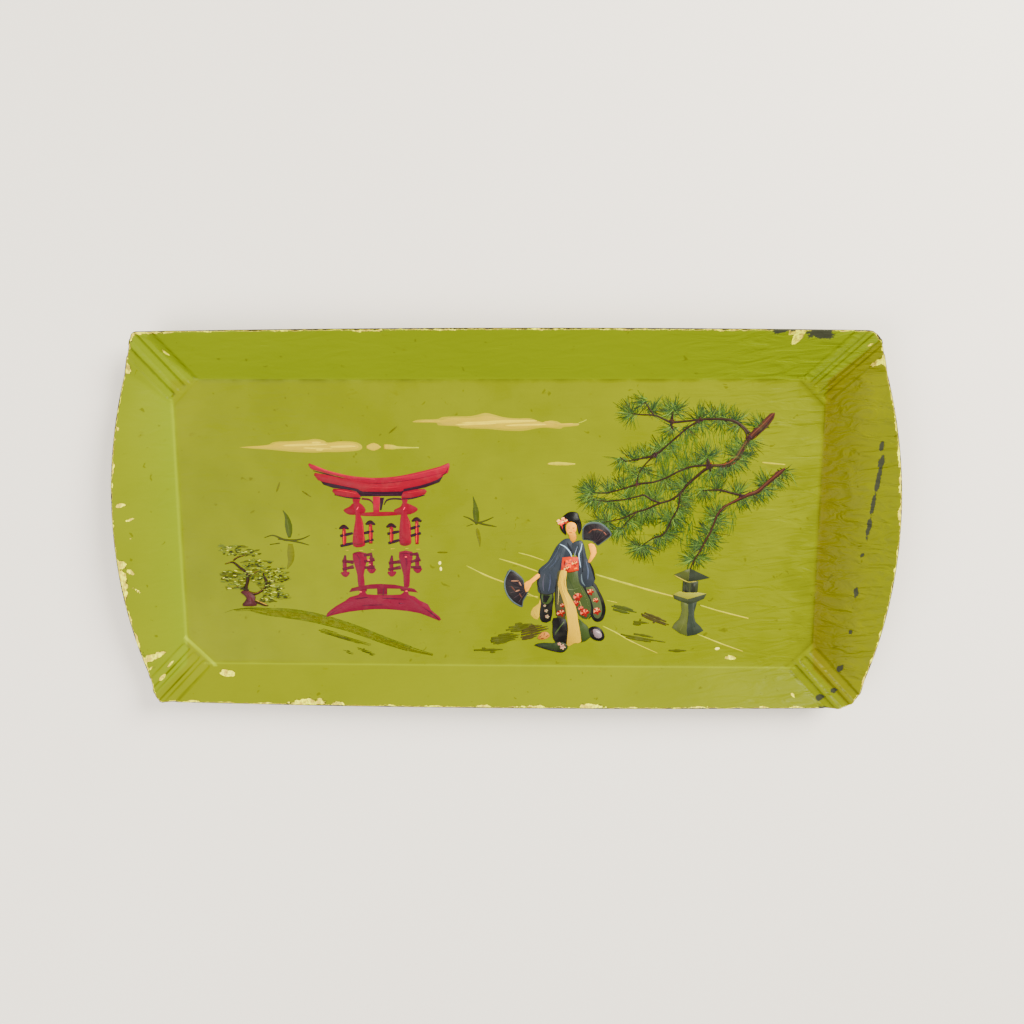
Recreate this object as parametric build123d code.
from build123d import *
import os
from math import atan, cos, hypot, sin, sqrt

# Pressed-board serving tray with a lacquered face and a hand-painted scene.
# Millimetres. The underside of the floor lies on z = 0, +X runs along the tray,
# +Y across it and +Z out of the well. The origin is under the middle of the rim.

os.makedirs("parts", exist_ok=True)

# ---- driving dimensions ----
CORNER_X = 185.1            # the rim's four corners, before they are rounded
CORNER_Y = 98.1
END_BOW = 16.9              # how far each end bulges past its two corners
SIDE_BOW = 1.5              # the same for each long side
CORNER_RADII = {(-1, 1): 3.0, (1, 1): 8.0, (-1, -1): 6.0, (1, -1): 15.0}

FLOOR_LENGTH = 337.6        # the floor, from fold to fold
FLOOR_WIDTH = 153.0
FLOOR_CUT = 13.5            # leg of the floor's four cut corners
PRESS_SHIFT = (-3.0, -3.0)  # the board was trimmed by hand, this far off its pressing

SLOPE = 0.70                # rise over run of the long flanges
FLARE_START = 16.0          # where an end flange starts to flatten out, from its fold
FLARE_SLOPE = 0.385
FOLD_RADIUS = 6.5           # at the folds round the floor, on the lacquered side
FLARE_RADIUS = 40.0

BOARD = 2.0                 # pressed board
LACQUER = 0.15              # green top coat
PAINT = 0.1                 # brushed decoration

FLUTE_PITCH = 7.0           # three flutes are pressed into each corner panel
FLUTE_WIDTH = 5.4
FLUTE_DEPTH = 0.9
FLUTE_START = 2.6           # from the floor's cut corner to the end of a flute
FLUTE_LANES = (-1, 0, 1)
FLUTE_TURNS = {(-1, 1): 10.0, (1, 1): 3.0, (-1, -1): 2.0, (1, -1): 2.0}  # degrees off square, to the long side

TOP = BOARD + LACQUER       # height of the lacquered floor
REACH = 320.0               # long enough to run past every edge
HIGH = 60.0                 # taller than the tray
DEEP = 10.0                 # how far the flange planes run on below the floor

# ---- derived ----
HALF_DIAGONAL = (FLOOR_LENGTH / 2 + FLOOR_WIDTH / 2 - FLOOR_CUT) / sqrt(2)
PANEL_SLOPE = SLOPE / sqrt(2)  # half the flanges' climb, so its edges stay parallel
FLUTE_RADIUS = (FLUTE_WIDTH ** 2 / 4 + FLUTE_DEPTH ** 2) / (2 * FLUTE_DEPTH)


# ---- the pressed form ----
def pushed_out(points, distance):
    """Shifts an open line of (across, up) points square to itself, down and outward."""
    normals = []
    for (x0, z0), (x1, z1) in zip(points, points[1:]):
        run = hypot(x1 - x0, z1 - z0)
        normals.append(((z1 - z0) / run, -(x1 - x0) / run))
    before = [normals[0]] + normals
    after = normals + [normals[-1]]
    moved = []
    for (x, z), (ax, az), (bx, bz) in zip(points, before, after):
        scale = distance / (1 + ax * bx + az * bz)
        moved.append((x + (ax + bx) * scale, z + (az + bz) * scale))
    return moved


def valley(half_floor, slope, distance, flared=False):
    """The section between two facing flanges, which run on below the floor."""
    points = [(half_floor - DEEP / slope, -DEEP)]
    if flared:
        points.append((half_floor + FLARE_START, slope * FLARE_START))
        slope_out = FLARE_SLOPE
    else:
        slope_out = slope
    x, z = points[-1]
    points.append((x + REACH / 2, z + slope_out * REACH / 2))
    right = pushed_out(points, distance)
    left = [(-x, z) for x, z in reversed(right)]
    section = make_face(Polyline(*left, *right, close=True))
    if flared:
        bends = [v for v in section.vertices() if 0 < v.Y < slope * FLARE_START + 1]
        section = fillet(bends, FLARE_RADIUS - distance)
    return section


def across(direction):
    """A plane that cuts the tray along a level direction, with its own Y pointing up."""
    a, b = direction
    origin = (PRESS_SHIFT[0], PRESS_SHIFT[1], TOP)
    return Plane(origin=origin, x_dir=(a, b, 0), z_dir=(b, -a, 0))


def flute(corner, lane, distance):
    """One round-ended channel that runs up a corner panel and out over the rim."""
    dx, dy = corner[0] / sqrt(2), corner[1] / sqrt(2)
    tilt = atan(PANEL_SLOPE)
    foot_x = PRESS_SHIFT[0] + corner[0] * (FLOOR_LENGTH - FLOOR_CUT) / 2
    foot_y = PRESS_SHIFT[1] + corner[1] * (FLOOR_WIDTH - FLOOR_CUT) / 2
    uphill = (dx * cos(tilt), dy * cos(tilt), sin(tilt))
    square_up = (-dx * sin(tilt), -dy * sin(tilt), cos(tilt))
    panel = Plane(origin=(foot_x, foot_y, TOP), x_dir=uphill, z_dir=square_up)
    panel = panel.rotated((0, 0, corner[0] * corner[1] * FLUTE_TURNS[corner]))
    start = (FLUTE_START + FLUTE_WIDTH / 2, lane * FLUTE_PITCH, FLUTE_RADIUS - FLUTE_DEPTH)
    centre = panel.from_local_coords(start)
    radius = FLUTE_RADIUS + distance
    bar = Cylinder(radius, REACH / 4, align=(Align.CENTER, Align.CENTER, Align.MIN))
    return Plane(origin=centre, z_dir=panel.x_dir) * bar + Pos(*centre) * Sphere(radius)


def space_above(distance):
    """Everything above the lacquered face, grown by a distance into the board."""
    diagonal = 1 / sqrt(2)
    sections = [
        ((0, 1), valley(FLOOR_WIDTH / 2, SLOPE, distance)),
        ((1, 0), valley(FLOOR_LENGTH / 2, SLOPE, distance, flared=True)),
        ((diagonal, diagonal), valley(HALF_DIAGONAL, PANEL_SLOPE, distance)),
        ((diagonal, -diagonal), valley(HALF_DIAGONAL, PANEL_SLOPE, distance)),
    ]
    floor = TOP - distance
    block = Box(REACH * 2, REACH * 2, HIGH, align=(Align.CENTER, Align.CENTER, Align.MIN))
    space = Pos(0, 0, floor) * block
    for direction, section in sections:
        space &= extrude(across(direction).offset(-REACH * 2) * section, amount=REACH * 4)
    folds = [e for e in space.edges() if abs(e.center().Z - floor) < 1e-6]
    space = fillet(folds, FOLD_RADIUS + distance)
    for corner in CORNER_RADII:
        for lane in FLUTE_LANES:
            space += flute(corner, lane, distance)
    return space


def rim_outline(inset=0.0):
    """The trimmed edge seen from above: four bowed sides and four rounded corners."""
    x, y = CORNER_X - inset, CORNER_Y - inset
    sides = [
        ThreePointArc((-x, y), (0, y + SIDE_BOW), (x, y)),
        ThreePointArc((x, y), (x + END_BOW, 0), (x, -y)),
        ThreePointArc((x, -y), (0, -y - SIDE_BOW), (-x, -y)),
        ThreePointArc((-x, -y), (-x - END_BOW, 0), (-x, y)),
    ]
    face = make_face(Curve() + sides)
    for (sx, sy), radius in CORNER_RADII.items():
        corner = min(face.vertices(), key=lambda v: hypot(v.X - sx * x, v.Y - sy * y))
        face = fillet(corner, radius - inset)
    return face


def layers():
    """The board and the green coat, which also wraps round the board's cut edge."""
    under_coat = space_above(LACQUER)
    blank = space_above(TOP)
    prism = extrude(rim_outline(), amount=HIGH)
    inner_prism = extrude(rim_outline(LACQUER), amount=HIGH)
    board = (blank - under_coat) & inner_prism
    coat = ((blank - space_above(0.0)) & prism) - board
    return board, coat


# ---- the painted scene: flat films on the lacquered floor ----
def brush(*stations):
    """A brush stroke through (x, y, width) stations, with smooth sides."""
    left, right = [], []
    for index, (x, y, width) in enumerate(stations):
        x0, y0, _ = stations[max(index - 1, 0)]
        x1, y1, _ = stations[min(index + 1, len(stations) - 1)]
        run = hypot(x1 - x0, y1 - y0)
        nx, ny = -(y1 - y0) / run * width / 2, (x1 - x0) / run * width / 2
        left.append((x + nx, y + ny))
        right.append((x - nx, y - ny))
    if len(stations) == 2:
        return make_face(Polyline(*left, *reversed(right), close=True))
    sides = [Spline(*left), Line(left[-1], right[-1]), Spline(*right), Line(right[0], left[0])]
    return make_face(Curve() + sides)


def shape(*points):
    """A straight-sided patch."""
    return make_face(Polyline(*points, close=True))


def blob(x, y, width, height, turn=0.0):
    """A round dab."""
    return Pos(x, y) * Rot(0, 0, turn) * Ellipse(width / 2, height / 2)


def merged(patches):
    whole = patches[0]
    for patch in patches[1:]:
        whole += patch
    return whole


def film(patches):
    """Lays patches on the floor as one coat of paint."""
    return extrude(Pos(0, 0, TOP) * merged(patches), amount=PAINT)


def clouds():
    return [
        brush((-138, 38.5, 0.6), (-116, 38.6, 2.6), (-96, 39.2, 4.8), (-73.5, 38.6, 2.4)),
        blob(-67.3, 38.6, 6.4, 2.4),
        brush((-61.5, 38.7, 1.6), (-43.5, 38.5, 0.7)),
        brush((-46, 51.4, 0.6), (-26, 51.8, 3.6), (-6, 52.2, 7.4), (20, 51.5, 4.2), (43, 51.6, 0.6)),
        brush((24.5, 30.4, 1.4), (37.5, 30.4, 0.6)),
        brush((136, 30.2, 1.2), (146.5, 30, 0.6)),
    ]


GATE_X = -65.3              # the middle of the gate
PILLAR_OUT = 12.6           # from there to the middle of each pillar


def curved_beam(half_top, tip_top, mid_top, half_bottom, tip_bottom, mid_bottom):
    """A gate beam that dips, or arches, in the middle."""
    upper = ThreePointArc((GATE_X - half_top, tip_top), (GATE_X, mid_top), (GATE_X + half_top, tip_top))
    lower = ThreePointArc(
        (GATE_X - half_bottom, tip_bottom), (GATE_X, mid_bottom), (GATE_X + half_bottom, tip_bottom)
    )
    left = Line(upper @ 0, lower @ 0)
    right = Line(upper @ 1, lower @ 1)
    return make_face(Curve() + [upper, lower, left, right])


def gate():
    patches = [
        curved_beam(37.2, 29.6, 23.8, 30.2, 20.0, 12.6),
        curved_beam(22.5, 15.6, 12.4, 20.0, 13.2, 10.0),
        brush((GATE_X - 0.3, 12, 5.0), (GATE_X - 0.3, 3, 5.0)),
        brush((GATE_X - 17, 2.8, 2.2), (GATE_X + 17, 2.8, 2.2)),
    ]
    for side in (-1, 1):
        pillar = GATE_X + side * PILLAR_OUT
        patches += [
            brush((pillar, 13, 4.2), (pillar, 0, 4.8), (pillar, -14.2, 6.0)),
            shape((pillar - 6.4, 3.2), (pillar, 9.4), (pillar + 6.4, 3.2), (pillar, 1.4)),
            brush((pillar - 7.8, -7.0, 1.6), (pillar + 7.4, -5.4, 1.6)),
            brush((pillar - 7.8, -13.0, 1.6), (pillar + 7.4, -11.6, 1.6)),
        ]
        for post, top in ((-6.8, -3.6), (6.2, -1.2)):
            patches.append(brush((pillar + post, top, 2.6), (pillar + post, top - 11.4, 2.6)))
    return patches


def gate_reflection():
    patches = [
        curved_beam(17.0, -42.8, -38.6, 30.4, -54.2, -48.8),
    ]
    for side in (-1, 1):
        pillar = GATE_X + side * PILLAR_OUT
        patches += [
            brush((pillar, -18.6, 6.2), (pillar, -30, 4.2), (pillar, -42, 3.4)),
            brush((pillar - 7.6, -23.0, 1.4), (pillar + 7.2, -22.4, 1.4)),
            brush((pillar - 7.6, -27.6, 1.4), (pillar + 7.2, -27.0, 1.4)),
        ]
        for post in (-6.6, 6.4):
            patches.append(brush((pillar + post, -19.4, 2.4), (pillar + post, -30.6, 1.8)))
    return patches


def sailboat(x, y):
    """A sail, a hull of crossed strokes and the sail's reflection below them."""
    return [
        brush((x - 2.8, y + 16.2, 0.5), (x, y + 8.6, 4.0), (x + 0.6, y + 0.4, 1.8)),
        brush((x - 9.6, y + 1.6, 0.5), (x, y - 0.4, 1.6), (x + 9.6, y + 1.2, 0.5)),
        brush((x, y - 0.4, 1.4), (x + 9.0, y - 3.6, 0.5)),
        brush((x + 0.6, y - 2.6, 2.4), (x + 1.4, y - 8.4, 4.0), (x + 0.6, y - 16.4, 0.5)),
    ]


def garden_pine():
    trunk = shape((-143, -47.4), (-134.5, -46.8), (-136.5, -44), (-138.6, -41), (-143.4, -38.4), (-141, -43))
    limbs = [
        brush((-138.6, -41, 1.4), (-132.5, -39.6, 1.2), (-127, -37, 1.0), (-128, -31, 0.8)),
        brush((-139.4, -39, 1.4), (-137, -32, 1.2), (-141, -26, 1.0), (-149, -23.8, 0.8)),
    ]
    leaves = [
        blob(-143, -17.4, 19, 8), blob(-133, -24.6, 15, 5.4), blob(-121, -30.8, 16, 6.4),
        blob(-145, -33, 13, 7), blob(-132, -33.2, 9, 7), blob(-124.5, -41, 15, 9.4),
    ]
    return [trunk] + limbs + leaves


def shore():
    return [
        brush((-151, -49.8, 0.8), (-133, -49.2, 2.2), (-106, -51, 3.6), (-78, -58, 3.8),
              (-50, -69.6, 2.6), (-38, -74.4, 0.8)),
        brush((-101, -60.6, 0.6), (-84, -66, 1.2), (-67.5, -73.6, 0.6)),
    ]


def paving():
    return [
        brush((-18.5, -25, 0.8), (83.5, -72.4, 0.8)),
        brush((-1.5, -21.2, 0.7), (49, -29.4, 0.8), (84, -39.8, 0.9), (131, -52.6, 0.8)),
        brush((9, -18, 0.6), (22, -21.6, 0.6)),
        brush((84, -57, 0.7), (129, -71, 0.8)),
    ]


def ground_shadows():
    return [
        brush((-17.8, -71.6, 1.4), (-2, -71, 2.4)),
        brush((-8, -66, 1.4), (14, -62.6, 3.2)),
        brush((2, -60, 1.6), (26, -56.4, 4.6)),
        brush((55, -46, 1.4), (76, -51, 3.4), (96, -57.6, 1.4)),
        brush((60, -61, 1.2), (96, -66.6, 2.2)),
        brush((88, -71.8, 0.8), (103, -71.6, 1.8)),
    ]


def lantern():
    x = 99.8
    waist = [
        Polyline((x - 5, -41.2), (x + 5.6, -41.2)),
        ThreePointArc((x + 5.6, -41.2), (x + 4.2, -52), (x + 8.2, -60.6)),
        Polyline((x + 8.2, -60.6), (x - 0.4, -63.6), (x - 7.6, -60.4)),
        ThreePointArc((x - 7.6, -60.4), (x - 3.6, -52), (x - 5, -41.2)),
    ]
    return [
        shape((x - 9.6, -29.6), (x + 0.2, -25.4), (x + 11, -29.6), (x + 2.6, -32.6), (x - 4, -31.6)),
        shape((x - 4, -31), (x + 4.4, -31), (x + 4.2, -38), (x - 4.2, -38)),
        shape((x - 8.4, -38), (x - 2, -36.2), (x + 9.4, -38), (x + 6, -42.4), (x - 5, -42.4)),
        make_face(Curve() + waist),
    ]


def dancer():
    head = [blob(36.4, -1.4, 9.6, 13.4, -8), brush((35, -7, 4.4), (35.4, -14, 7.0))]
    robe = [
        shape((28, -14), (34, -10.6), (42, -11.4), (47.6, -22), (50, -36), (44, -34), (41, -22)),
        shape((28, -14), (20, -26), (18.6, -42), (27.4, -43.6), (33, -26), (36, -12)),
        shape((30.4, -18), (42, -18), (45, -40), (47, -62), (34, -68.6), (27, -66), (26.6, -44)),
    ]
    sleeves = [
        brush((43, -30, 8.0), (50.4, -42, 11.6), (50, -52, 9.0), (46.6, -55.4, 2.0)),
        shape((19.6, -42), (26.6, -43), (25.6, -56), (20.6, -56)),
    ]
    hems = [
        brush((17.4, -69.2, 0.8), (27, -69.8, 3.2), (33, -67, 3.4)),
        blob(51, -61.6, 7.6, 6.4, -10),
        blob(22.6, -65, 7.4, 4.0),
    ]
    arms = [
        brush((12.8, -34.4, 2.4), (20.6, -29.4, 3.0)),
        brush((47.6, -14.6, 2.6), (50.4, -18.6, 2.6), (47.4, -24, 2.6)),
    ]
    return head + robe + sleeves + hems + arms


def left_fan():
    arc = ThreePointArc((2.6, -26.6), (0.2, -37.2), (10.2, -46))
    return [make_face(Curve() + [arc, Polyline((10.2, -46), (13.4, -38), (12.2, -33.6), (2.6, -26.6))])]


def right_fan():
    arc = ThreePointArc((41.4, -5.4), (51, -1), (57.8, -8.4))
    return [make_face(Curve() + [arc, Polyline((57.8, -8.4), (50, -13.4), (43.4, -13.4), (41.4, -5.4))])]


BRANCHES = (
    ((140, 56, 3.2), (131, 47, 3.6), (124, 37.5, 3.0), (115, 29.6, 2.6), (99, 29, 1.8),
     (84, 21.6, 1.2), (62, 17, 1.0), (47, 15.2, 0.8)),
    ((131, 47, 2.6), (122, 53, 1.8), (104, 53.6, 1.6), (88, 53, 1.4), (73, 55.4, 0.8)),
    ((104, 53.6, 1.4), (94, 45.6, 1.1), (83, 35.6, 1.3), (65, 31, 0.7)),
    ((83, 35.6, 1.2), (76, 28, 0.9), (70.6, 20.6, 0.8)),
    ((107, 28.4, 2.0), (96, 19.4, 1.8), (88, 10.8, 1.8), (82, 8.8, 1.6), (66, 3, 1.0), (53.6, -1, 0.7)),
    ((82, 9, 1.2), (73, 12.6, 0.9), (62, 10, 0.8), (47.5, 11, 0.6)),
    ((93, 13.4, 1.4), (90, 3, 1.0), (84.4, -8, 0.9), (71, -14, 0.7)),
    ((147, 26.4, 2.4), (134, 17.6, 1.8), (120, 7.8, 1.4), (114, 5.2, 1.2), (109, -4, 1.0), (100, -24.6, 0.7)),
    ((125, 11.4, 1.2), (113, 14.6, 0.9), (104, 15, 0.8)),
)


def branches():
    return [brush(*stations) for stations in BRANCHES]


TUFT_RADIUS = 4.6           # one tuft of needles
TUFT_SIDES = 9
TUFTS = (
    (68.5, 55.6), (76, 60.4), (84.5, 59.6), (92, 59), (101, 60.6), (109.5, 59.4), (117.5, 57), (125.6, 54),
    (93, 48), (108, 48.6), (122, 43), (133.6, 43.4), (128.4, 33), (114.4, 37.4), (85.4, 48), (80, 42),
    (74.6, 38.6), (65.4, 33.4), (68.6, 26), (79.4, 28.6), (90.6, 35), (101.6, 33.4), (45.8, 14.8), (55, 18.4),
    (63.6, 21.2), (91, 24), (108.6, 23), (99, 14), (75, 15.2), (54, 6.4), (64, 7), (74, 4.2), (88.4, 12.6),
    (98.6, 6.8), (121.6, 16.6), (133.4, 18.8), (143.6, 21.8), (129.4, 10.6), (118, 0.6), (104.8, 0.4),
    (61, -6.4), (78, -3.6), (71, -13.8), (84.6, -12), (109.4, -8), (104.6, -16.4), (97, -14.8), (90.4, -18.8),
    (104, -22.4),
)


def needles():
    return [Pos(x, y) * RegularPolygon(TUFT_RADIUS, TUFT_SIDES) for x, y in TUFTS]


PAINTED = {
    "clouds": clouds,
    "gate": gate,
    "gate_reflection": gate_reflection,
    "garden_pine": garden_pine,
    "shore_strokes": shore,
    "dancer": dancer,
    "left_fan": left_fan,
    "right_fan": right_fan,
    "stone_lantern": lantern,
    "pine_branches": branches,
    "pine_needles": needles,
    "paving_lines": paving,
    "ground_shadows": ground_shadows,
}
BOATS = {"left_sailboat": (-115.8, -11.4), "right_sailboat": (-13.0, 0.6)}


def main():
    board, coat = layers()
    export_step(board, "parts/tray_board.step")
    export_step(coat, "parts/face_lacquer.step")

    films = {name: film(draw()) for name, draw in PAINTED.items()}
    for name, (x, y) in BOATS.items():
        films[name] = film(sailboat(x, y))

    laid = None
    for name, coat_of_paint in films.items():
        if laid is not None:
            coat_of_paint -= laid
        laid = coat_of_paint if laid is None else laid + coat_of_paint
        export_step(coat_of_paint, f"parts/{name}.step")


main()
